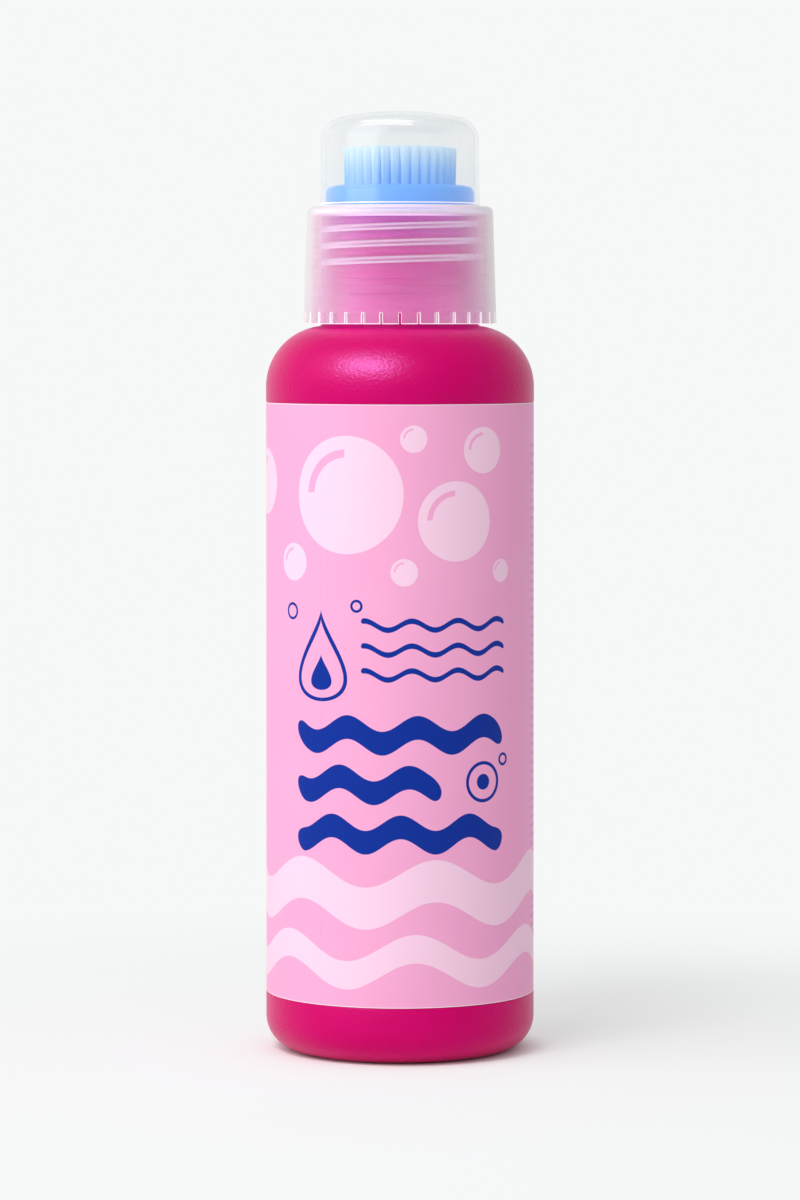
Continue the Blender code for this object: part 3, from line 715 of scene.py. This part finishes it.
def brush_head_outline():
    """From the outlet up and out over the flange, then down the plug and back up inside it."""
    edge = FLANGE_RADIUS - FLANGE_EDGE
    return [
        *arc(OUTLET_RADIUS + SOFT_EDGE, DECK + SOFT_EDGE, SOFT_EDGE, 270, 180, 3),
        *arc(OUTLET_RADIUS + SOFT_EDGE, POCKET_FLOOR - SOFT_EDGE, SOFT_EDGE, 180, 90, 3),
        (POCKET_RADIUS, POCKET_FLOOR),
        *arc(POCKET_RADIUS + SOFT_EDGE, FLANGE_TOP - SOFT_EDGE, SOFT_EDGE, 180, 90, 4),
        (edge - 0.6 * MM, FLANGE_TOP - 0.06 * MM),
        *arc(edge, FLANGE_TOP - FLANGE_FALL - FLANGE_EDGE, FLANGE_EDGE, 80, 0, 10),
        *arc(FLANGE_RADIUS - SOFT_EDGE, FLANGE_SEAT + SOFT_EDGE, SOFT_EDGE, 0, -90, 3),
        (PLUG_RADIUS, FLANGE_SEAT),
        *arc(PLUG_RADIUS - SOFT_EDGE, PLUG_BOTTOM + SOFT_EDGE, SOFT_EDGE, 0, -90, 3),
        (PLUG_RADIUS - PLUG_WALL, PLUG_BOTTOM),
        (PLUG_RADIUS - PLUG_WALL, DECK),
        (SOCKET_RADIUS + SOCKET_WALL, DECK),
        (SOCKET_RADIUS + SOCKET_WALL, SOCKET_BOTTOM),
        (SOCKET_RADIUS, SOCKET_BOTTOM),
        (SOCKET_RADIUS, SOCKET_BOTTOM + 0.6 * MM),
        (SOCKET_RADIUS - SNAP_BEAD, SOCKET_BOTTOM + 1.05 * MM),
        (SOCKET_RADIUS, SOCKET_BOTTOM + 1.5 * MM),
        (SOCKET_RADIUS, DECK),
    ]


brush_base = finished("brush_base", turned(brush_head_outline(), ROUND), blue_plastic())
belongs(brush_base, "bottle", "brush_head")

# %% [markdown]
# ## The brush
#
# Some ninety tufts stand in rings on a plate, each of about sixty nylon filaments that fan out till
# they meet their neighbours. Hair particles would give the filaments no mesh. So one filament is a
# thin tapered prism, a tuft is a bundle of them, and a few different tufts are set round the rings.

# %% Nylon
PLATE_TOP = FLANGE_TOP


def blue_nylon():
    finish = Finish("blue_nylon")
    grain = finish.noise(0.4 * MM)
    root = finish.mix(grain, screen(122, 184, 232), screen(138, 194, 238))
    middle = finish.mix(grain, screen(168, 206, 234), screen(182, 216, 240))
    tip = finish.mix(grain, screen(206, 224, 234), screen(220, 234, 242))
    height = finish.z.between(PLATE_TOP, PLATE_TOP + 4.5 * MM)
    near_tip = finish.z.between(PLATE_TOP + 2.5 * MM, BRUSH_TOP)
    # The emission is painted light: a glow that lightens the shade between the tufts, as light passing
    # through the nylon would.
    finish.surface(
        Base_Color=finish.mix(height, root, finish.mix(near_tip, middle, tip)),
        Emission_Color=finish.mix(near_tip, screen(98, 166, 222), screen(176, 200, 216)),
        Emission_Strength=0.3,
        Roughness=grain * 0.1 + 0.45,
        Specular_IOR_Level=0.3,
    )
    return finish.material


# %% One tuft
FILAMENT_RADIUS = 0.085 * MM
FILAMENT_SINK = 0.3 * MM
FILAMENT_RINGS = 4
TUFT_ROOT_RADIUS = 0.64 * MM
TUFT_TIP_RADIUS = 0.82 * MM
# How much the filaments differ: two spreads in millimetres, and one in places round their ring.
LEAN_SPREAD = 0.04
CUT_SPREAD = 0.3
TURN_SPREAD = 0.25


def add_filament(bundle, root, lean, length, angle):
    """Adds a thin prism that stands at root from the tuft's axis and leans outwards by lean."""
    slant = Matrix.Identity(4)
    slant[0][2] = lean / length
    middle = Matrix.Translation((0.0, 0.0, length / 2 - FILAMENT_SINK))
    stand = Matrix.Rotation(angle, 4, "Z") @ Matrix.Translation((root, 0.0, 0.0))
    bmesh.ops.create_cone(
        bundle, cap_ends=True, segments=6, radius1=FILAMENT_RADIUS, radius2=0.8 * FILAMENT_RADIUS,
        depth=length, matrix=stand @ slant @ middle,
    )


def tuft_mesh(number):
    """A bundle of filaments in rings about an axis, each cut at its own height."""
    chance = random.Random(number)
    bundle = bmesh.new()
    for ring in range(FILAMENT_RINGS + 1):
        share = ring / FILAMENT_RINGS
        count = max(1, 6 * ring)
        for place in range(count):
            lean = share * (TUFT_TIP_RADIUS - TUFT_ROOT_RADIUS) + chance.gauss(0.0, LEAN_SPREAD) * MM
            length = BRUSH_TOP - PLATE_TOP + FILAMENT_SINK - chance.uniform(0.0, CUT_SPREAD) * MM
            angle = math.tau * (place + chance.uniform(-TURN_SPREAD, TURN_SPREAD)) / count
            add_filament(bundle, share * TUFT_ROOT_RADIUS, lean, length, angle)
    mesh = bpy.data.meshes.new("tuft")
    bundle.to_mesh(mesh)
    bundle.free()
    return mesh


# %% Set the tufts round the rings
# The radius of each ring in millimetres, and its number of tufts.
TUFT_RINGS = [(10.1, 33), (8.15, 27), (6.2, 20), (4.25, 14)]
TUFT_KINDS = 8
CROWN_START = 0.75
CROWN_FALL = 0.3 * MM
PLATE_BEVEL = 0.1 * MM
SPIN_SEED = 21


def brush_shape():
    """The tuft plate with every tuft standing on it, the outermost a little shorter."""
    plate_outline = [
        (OUTLET_RADIUS, PLATE_BOTTOM),
        (PLATE_RADIUS, PLATE_BOTTOM),
        (PLATE_RADIUS, PLATE_TOP - PLATE_BEVEL),
        (PLATE_RADIUS - PLATE_BEVEL, PLATE_TOP),
        (OUTLET_RADIUS, PLATE_TOP),
    ]
    brush = turned(plate_outline, ROUND)
    kinds = [tuft_mesh(number) for number in range(TUFT_KINDS)]
    chance = random.Random(SPIN_SEED)
    for radius, count in TUFT_RINGS:
        outer_share = max(0.0, radius / TUFT_RINGS[0][0] - CROWN_START) / (1 - CROWN_START)
        shortening = 1 - outer_share * CROWN_FALL / (BRUSH_TOP - PLATE_TOP)
        for tuft in range(count):
            mesh = kinds[chance.randrange(TUFT_KINDS)].copy()
            mesh.transform(
                Matrix.Rotation(FRONT + math.tau * (tuft + 0.5) / count, 4, "Z")
                @ Matrix.Translation((radius * MM, 0.0, PLATE_TOP))
                @ Matrix.Rotation(chance.uniform(0.0, math.tau), 4, "Z")
                @ Matrix.Diagonal((1.0, 1.0, shortening, 1.0))
            )
            brush.from_mesh(mesh)
            bpy.data.meshes.remove(mesh)
    return brush


brush = finished("brush_tufts", brush_shape(), blue_nylon())
belongs(brush, "bottle", "bristles")

# %% [markdown]
# ## The valve and its retainer
#
# Under the outlet, a dished silicone valve with two crossed slits is held by a snapped-in ring.
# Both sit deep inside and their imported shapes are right, so they stay and only get a finish.


# %% Valve, retainer and liner finishes
def soft_plastic(name, first, second, roughness, spot):
    """A plain moulded finish: two near colours in clouds, and a faint relief."""
    finish = Finish(name)
    cloud = finish.noise(spot)
    finish.surface(
        Base_Color=finish.mix(cloud, screen(*first), screen(*second)),
        Roughness=cloud * 0.1 + roughness,
        IOR=1.45,
    )
    finish.relief(cloud, 0.02 * MM)
    return finish.material


def dress(node, material):
    """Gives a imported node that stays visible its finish."""
    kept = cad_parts[node]
    kept.data.materials.clear()
    kept.data.materials.append(material)
    print(node, "stays as packed, with", material.name)


dress("slit_valve", soft_plastic("milky_silicone", (214, 221, 226), (230, 235, 238), 0.28, 1.5 * MM))
dress("valve_retainer", soft_plastic("natural_plastic", (228, 231, 234), (240, 242, 243), 0.38, 2 * MM))

# %% [markdown]
# ## The foam liner
#
# A thin foam ring seals the neck's rim inside the overcap. Through the skirt it shows as a pale
# band. A ring with rounded edges is spun, and its finish has the fine cells of foam.

# %% Build the liner
def liner_outline():
    inner = FLANGE_RADIUS + 0.3 * MM
    edge = 0.12 * MM
    return [
        *arc(inner + edge, LINER_BOTTOM + edge, edge, 270, 180, 2),
        *arc(inner + edge, LINER_TOP - edge, edge, 180, 90, 2),
        *arc(LINER_RADIUS - edge, LINER_TOP - edge, edge, 90, 0, 2),
        *arc(LINER_RADIUS - edge, LINER_BOTTOM + edge, edge, 0, -90, 2),
    ]


foam = soft_plastic("white_foam", (240, 236, 246), (250, 248, 255), 0.6, 0.2 * MM)
liner = finished("foam_liner", turned(liner_outline(), ROUND), foam)
belongs(liner, "cap_liner", "cap_liner")

# %% [markdown]
# ## Frosted plastic
#
# The overcap is natural polypropylene: light passes, but each layer adds a milky haze, and a layer
# that is seen edge-on adds the most. Refraction would cost much time and noise for little, so the
# haze is an alpha that grows with the slant of the surface. The thin dome has the least of it, and
# the thick shelf, the ribs of the thread and the edges of the slots have the most. Where the haze
# is thick it is painted with the tint of the light from what lies behind it. The edges of the slots,
# the mouth and the dome's foot get painted highlights, and a weak emission of the plastic's own
# colour is painted light that evens out its shading. An alpha also fades a reflection, so the dome
# gets its gloss from a Mix Shader, whose share grows with the slant as a clear plastic's does.

# %% Sizes of the overcap
SHELF_UNDERSIDE = LINER_TOP + 0.3 * MM
SHELF_TOP = SHELF_UNDERSIDE + 0.9 * MM
SKIRT_TOP_RADIUS = 18.07 * MM
SKIRT_WALL = 1.27 * MM
SLOTS = 32
SLOT_WIDTH = 0.45 * MM
SLOT_HEIGHT = 2.25 * MM


# %% Masks of the overcap's parts
RIB_REACH = 16.55 * MM


def slot_reach(finish):
    """How far a place of the skirt is from the outline of the nearest slot."""
    turn = finish.x.math("ARCTAN2", -finish.y) / math.tau * SLOTS
    across = ((turn + 0.5).math("FRACT") - 0.5) * (math.tau * MOUTH_RADIUS / SLOTS)
    above = (finish.z - (CAP_MOUTH + SLOT_HEIGHT - SLOT_WIDTH / 2)).larger(0.0)
    return abs(finish.length(across, above) - SLOT_WIDTH / 2)


def edge_glints(finish, radius):
    """Painted highlights where the light is caught by the edges of the slots and of the mouth."""
    outer_face = radius.between(MOUTH_RADIUS - 0.35 * MM, MOUTH_RADIUS - 0.25 * MM)
    slot_glint = slot_reach(finish).under(0.1 * MM, 0.04 * MM) * outer_face
    return slot_glint.larger((finish.z - CAP_MOUTH).under(0.16 * MM, 0.05 * MM))


def cap_parts(finish, radius):
    """The dome, the shelf with the corner under it, and the thread's ribs."""
    dome = finish.z.between(SHELF_TOP, SHELF_TOP + 0.3 * MM)
    shelf_top = finish.z.between(SHELF_UNDERSIDE, SHELF_UNDERSIDE + 0.35 * MM)
    shelf = finish.z.between(SHELF_UNDERSIDE - 1.1 * MM, SHELF_UNDERSIDE - 0.3 * MM)
    shelf = shelf * (1 - shelf_top * 0.5) * (1 - dome)
    rib = radius.under(RIB_REACH, 0.1 * MM) * (1 - dome) * (1 - shelf)
    return dome, shelf, rib


# %% Haze of the overcap
SHELF_HAZE = 0.4
RIB_HAZE = 0.22
LOW_HAZE = 0.07
STREAK_HAZE = 0.1
CLOUD_HAZE = 0.03
LEAST_HAZE = 0.06
DOME_HAZE = 0.055
INNER_SKIN = 1.4
OUTER_SKIN = 0.6
OUTER_SKIN_START = 17.75 * MM
OUTER_SKIN_END = 17.95 * MM
LEAST_FACING = 0.22
LIMB_POWER = 3.4


def skirt_haze(finish, radius, dome, shelf, rib):
    """How milky the skirt is: streaked, cloudy, and thicker at its mouth and inside."""
    along = finish.add("VectorMath", {0: finish.place, 1: (0.06, 0.06, 1.0)}, operation="MULTIPLY")
    streaks = finish.noise(0.7 * MM, detail=3.0, place=along.outputs[0])
    cloud = finish.noise(6 * MM)
    low = finish.z.between(CAP_MOUTH + 12 * MM, CAP_MOUTH)
    outside = radius.between(OUTER_SKIN_START, OUTER_SKIN_END)
    parts = shelf * SHELF_HAZE + rib * RIB_HAZE + low * LOW_HAZE
    haze = parts + streaks * STREAK_HAZE + cloud * CLOUD_HAZE + LEAST_HAZE
    return (1 - dome) * haze * (INNER_SKIN - outside * (INNER_SKIN - OUTER_SKIN))


# %% Tint of the overcap
def skirt_tint(finish, slant, aside, shelf, rib):
    """Rosy where the skirt faces the eye, greyer to its sides, and pale on the shelf and ribs."""
    # The rosy front tint is painted light: the magenta neck's light scattered in the haze.
    tint = finish.mix(slant.between(0.05, 0.35), screen(230, 180, 220), screen(196, 160, 184))
    tint = finish.mix(slant.between(0.5, 0.68), tint, screen(192, 183, 186))
    tint = finish.mix(shelf, tint, finish.mix(aside, screen(233, 224, 240), screen(188, 184, 189)))
    return finish.mix(rib, tint, screen(248, 230, 248))


# %% Frosted plastic
def frosted_plastic():
    finish = Finish("frosted_plastic")
    radius = finish.length(finish.x, finish.y)
    flow = finish.noise(1.2 * MM, detail=3.0)
    dome, shelf, rib = cap_parts(finish, radius)
    # A thin line round the dome's foot is a painted highlight, where its fillet catches the light from
    # above.
    foot_glint = abs(finish.z - SHELF_TOP - 0.55 * MM).under(0.09 * MM, 0.05 * MM)
    rim_line = abs(finish.z - NECK_RIM - 0.2 * MM).under(0.2 * MM, 0.05 * MM) * (1 - dome) * 1.2
    edge = edge_glints(finish, radius).larger(foot_glint)

    slant = finish.amount("LayerWeight", {"Blend": 0.5}, "Facing")
    aside = slant.between(0.3, 0.8)
    tint = skirt_tint(finish, slant, aside, shelf, rib)
    dome_tint = finish.mix(slant.between(0.1, 0.6), screen(184, 188, 192), screen(214, 217, 216))
    colour = finish.mix(dome * (1 - foot_glint), tint, dome_tint)
    # The edges of the slots, the mouth and the dome's foot are painted white as highlights.
    colour = finish.mix(edge, colour, screen(250, 250, 252))
    # The emission is painted light: the overcap glows with its own colour to even out its shading, less on
    # the ribs and the shelf.
    no_painted_glow = (rib * 0.75).larger(shelf * 0.6 * (1 - aside))

    facing = (1 - slant).larger(LEAST_FACING)
    skirt_depth = skirt_haze(finish, radius, dome, shelf, rib) / facing.math("POWER", LIMB_POWER)
    dome_depth = dome * DOME_HAZE / facing.larger(0.3)
    depth = skirt_depth + dome_depth + edge / facing + rim_line * facing
    finish.surface(
        Base_Color=colour,
        Emission_Color=finish.mix(no_painted_glow, colour, BLACK),
        Emission_Strength=0.4,
        Roughness=flow * 0.06 + 0.3,
        Specular_IOR_Level=0.3,
        Alpha=1 - (-depth).math("EXPONENT"),
    )
    finish.relief(flow * (1 - dome), 0.006 * MM)

    gloss = finish.add("BsdfGlossy", {"Roughness": 0.18})
    mirror = (slant.math("POWER", 5.0) * 0.2 + 0.05) * dome
    glossed = finish.add("MixShader", {0: mirror, 1: finish.shader.outputs[0], 2: gloss.outputs[0]})
    finish.feed(finish.tree.nodes["Material Output"].inputs["Surface"], glossed.outputs[0])
    return finish.material


# %% [markdown]
# ## The overcap
#
# The overcap is one moulding: a skirt with an internal thread, a shelf over the neck's rim and a
# narrower dome over the brush. Its mouth has 32 small slots. One outline is spun, a rib is joined
# inside it, and a ring of cutters opens the slots.

# %% Overcap outline
SHELF_CORNER = 1.2 * MM
DOME_WALL = 0.75 * MM
DOME_FOOT_RADIUS = FLANGE_RADIUS + 1.1 * MM
DOME_FILLET = 0.3 * MM
DOME_TAPER = 0.18 * MM
DOME_CORNER = 4.4 * MM
CROWN_RISE = 1.1 * MM
CROWN_ANGLE = 82
MOUTH_ROUND = 0.18 * MM
BORE_FILLET = 0.4 * MM
DOME_BORE_FILLET = 0.2 * MM
DOME_CORNER_CENTRE = DOME_FOOT_RADIUS - DOME_TAPER - DOME_CORNER
DOME_CORNER_HEIGHT = CAP_TOP - CROWN_RISE - DOME_CORNER
SKIRT_FLARE = MOUTH_RADIUS - SKIRT_TOP_RADIUS
SKIRT_BORE = SKIRT_TOP_RADIUS - SKIRT_WALL


def crown(steps, drop):
    """Points of the dome's flat top, from the middle out to its rounded corner."""
    corner_end = DOME_CORNER_CENTRE + DOME_CORNER * math.cos(math.radians(CROWN_ANGLE))
    corner_fall = CAP_TOP - DOME_CORNER_HEIGHT - DOME_CORNER * math.sin(math.radians(CROWN_ANGLE))
    shares = [step / steps for step in range(steps)]
    return [(share * corner_end, CAP_TOP - drop - corner_fall * share ** 2) for share in shares]


def overcap_outline():
    """From the middle of the dome's inside down to the mouth, and up the outside."""
    bore_mouth = SKIRT_BORE + SKIRT_FLARE
    dome_bore = DOME_FOOT_RADIUS - DOME_WALL + DOME_BORE_FILLET
    inside = [
        *crown(10, DOME_WALL),
        *arc(DOME_CORNER_CENTRE, DOME_CORNER_HEIGHT, DOME_CORNER - DOME_WALL, CROWN_ANGLE, 0, 12),
        *arc(dome_bore, SHELF_UNDERSIDE + DOME_BORE_FILLET, DOME_BORE_FILLET, 180, 270, 3),
        *arc(SKIRT_BORE - BORE_FILLET, SHELF_UNDERSIDE - BORE_FILLET, BORE_FILLET, 90, 0, 4),
        *arc(bore_mouth + MOUTH_ROUND, CAP_MOUTH + MOUTH_ROUND, MOUTH_ROUND, 180, 270, 3),
    ]
    outside = [
        *arc(MOUTH_RADIUS - MOUTH_ROUND, CAP_MOUTH + MOUTH_ROUND, MOUTH_ROUND, -90, 0, 3),
        *arc(SKIRT_TOP_RADIUS - SHELF_CORNER, SHELF_TOP - SHELF_CORNER, SHELF_CORNER, 2, 90, 8),
        *arc(DOME_FOOT_RADIUS + DOME_FILLET, SHELF_TOP + DOME_FILLET, DOME_FILLET, 270, 181, 5),
        *arc(DOME_CORNER_CENTRE, DOME_CORNER_HEIGHT, DOME_CORNER, 0, CROWN_ANGLE, 16),
        *reversed(crown(10, 0.0)),
    ]
    return inside + outside


# %% Slot cutters
CUT_REACH = 2.5 * MM


def slot_cutters():
    """A flat keyhole shape for each slot, drawn inwards through the skirt."""
    half = SLOT_WIDTH / 2
    cutters = bmesh.new()
    outline = [(-half, -half), (half, -half), *arc(0.0, SLOT_HEIGHT - half, half, 0, 180, 8)]
    radius = MOUTH_RADIUS + half
    for slot in range(SLOTS):
        corners = [cutters.verts.new((radius, across, CAP_MOUTH + up)) for across, up in outline]
        face = cutters.faces.new(corners)
        drawn = bmesh.ops.extrude_face_region(cutters, geom=[face])["geom"]
        moved = [item for item in drawn if isinstance(item, bmesh.types.BMVert)]
        bmesh.ops.translate(cutters, verts=moved, vec=(-CUT_REACH, 0.0, 0.0))
        turn = Matrix.Rotation(FRONT + math.tau * slot / SLOTS, 3, "Z")
        bmesh.ops.rotate(cutters, verts=corners + moved, cent=(0, 0, 0), matrix=turn)
    return cutters


# %% Build the overcap
CAP_ROUND = 256
CAP_RIB_SINK = 0.63 * MM
CAP_RIB_CLEARANCE = 0.4 * MM

cap_shape = turned(overcap_outline(), CAP_ROUND, closed=False)
overcap = finished("frosted_overcap", cap_shape, frosted_plastic())
combined(
    overcap,
    thread_rib(
        root=SKIRT_BORE + CAP_RIB_SINK, crest=NECK_RADIUS + CAP_RIB_CLEARANCE,
        turns=2.8, top=NECK_RIM - 0.8 * MM, front=CAP_RIB_FRONT,
    ),
    "UNION",
)
combined(overcap, slot_cutters(), "DIFFERENCE")
belongs(overcap, "overcap", "overcap")

# %% [markdown]
# ## Floor and background
#
# The bottle stands in a white studio sweep. A bent backdrop could make it, but a floor that fades
# into a background of the same white does the same from every side. The white comes from colour
# that only the eye and reflections see, so it adds no light to the bottle. Reflections see a darker
# ceiling, as in a real studio, and half of the fade starts at the bottle, so its shadow stays light.

# %% World
BACKGROUND = screen(246, 248, 248)
AMBIENT = 0.49
CEILING_DIMNESS = 0.65
CEILING_START = 0.15
CEILING_FULL = 0.7


def seen(nodes):
    """1 for the rays by which the eye, or a reflection or a clear piece, sees a surface."""
    path = nodes.add("LightPath")
    camera_ray = Amount(nodes, path.outputs["Is Camera Ray"])
    return camera_ray.larger(path.outputs["Is Glossy Ray"]).larger(path.outputs["Is Transmission Ray"])


world = bpy.data.worlds.new("studio")
world.use_nodes = True
bpy.context.scene.world = world
sky = Nodes(world.node_tree)
direction = sky.add("SeparateXYZ", {0: sky.add("TexCoord").outputs["Generated"]})
overhead = Amount(sky, direction.outputs[2]).between(CEILING_START, CEILING_FULL)
reflected = Amount(sky, sky.add("LightPath").outputs["Is Glossy Ray"])
ceiling = sky.mix(overhead * reflected * CEILING_DIMNESS, BACKGROUND, BLACK)
white = sky.add("Background", {"Color": ceiling})
ambient = sky.add("Background", {"Color": (1.0, 1.0, 1.0, 1.0), "Strength": AMBIENT})
choice = sky.add("MixShader", {0: seen(sky), 1: ambient.outputs[0], 2: white.outputs[0]})
sky.feed(world.node_tree.nodes["World Output"].inputs["Surface"], choice.outputs[0])
print("the world lights the bottle with", AMBIENT)

# %% Floor
FLOOR_SIZE = 12.0
FADE_START = 0.07
FADE_END = 0.22
NEAR_START = 0.8 * BODY_RADIUS
NEAR_END = 1.2 * BODY_RADIUS
NEAR_SHARE = 0.5

sweep = Finish("white_sweep")
clouds = sweep.mix(sweep.noise(0.2), screen(247, 249, 249), screen(249, 251, 251))
sweep.surface(Base_Color=clouds, Roughness=0.8)
reach = sweep.length(sweep.x, sweep.y)
near_fade = reach.between(NEAR_START, NEAR_END) * NEAR_SHARE
fade = (near_fade + reach.between(FADE_START, FADE_END) * (1 - NEAR_SHARE)) * seen(sweep)
glow = sweep.add("Emission", {"Color": BACKGROUND})
blend = sweep.add("MixShader", {0: fade, 1: sweep.shader.outputs[0], 2: glow.outputs[0]})
sweep.feed(sweep.tree.nodes["Material Output"].inputs["Surface"], blend.outputs[0])

floor_shape = bmesh.new()
bmesh.ops.create_grid(floor_shape, x_segments=8, y_segments=8, size=FLOOR_SIZE / 2)
floor = finished("floor", floor_shape, sweep.material)

# %% [markdown]
# ## Light
#
# The photograph has one large soft light from the left and in front, whose shadow falls to the
# right and back, and a small one above it that makes no highlight. A picture of a studio could
# light the scene, but area lamps say plainly where the light comes from. The shoulder and the dome
# each have one bright highlight from above. Each gets it from a lamp of its own, which light linking
# keeps off all other pieces.


# %% Softboxes
def softbox(name, place, width, height, watts, aim=(0.0, 0.0, 0.1)):
    """A rectangular lamp that faces the point aim."""
    lamp = bpy.data.lights.new(name, "AREA")
    lamp.shape = "RECTANGLE"
    lamp.size = width
    lamp.size_y = height
    lamp.energy = watts
    stand = bpy.data.objects.new(name, lamp)
    stand.location = place
    stand.rotation_euler = (Vector(aim) - Vector(place)).to_track_quat("-Z", "Y").to_euler()
    bpy.context.scene.collection.objects.link(stand)
    print(name, "gives", watts, "W")
    return stand


softbox("key_left", place=(-1.07, -0.62, 0.92), width=1.5, height=1.5, watts=11.1)
fill = softbox("top_front", place=(-0.4, -0.66, 1.15), width=0.48, height=0.27, watts=6.0)
fill.visible_glossy = False


# %% Lamps that only make highlights
def shine(piece, place, width, height, watts, aim):
    """A softbox that gives one piece a highlight, and no other light."""
    stand = softbox(piece.name + "_shine", place, width, height, watts, aim)
    stand.visible_diffuse = False
    takers = bpy.data.collections.new(stand.name)
    takers.objects.link(piece)
    stand.light_linking.receiver_collection = takers


shine(bottle, (-0.55, -0.84, 0.96), width=0.85, height=0.5, watts=89.0, aim=(0.0, 0.0, 0.13))
shine(overcap, (-0.22, 0.07, 1.28), width=0.95, height=0.28, watts=7.6, aim=(-0.40, -0.28, 0.18))
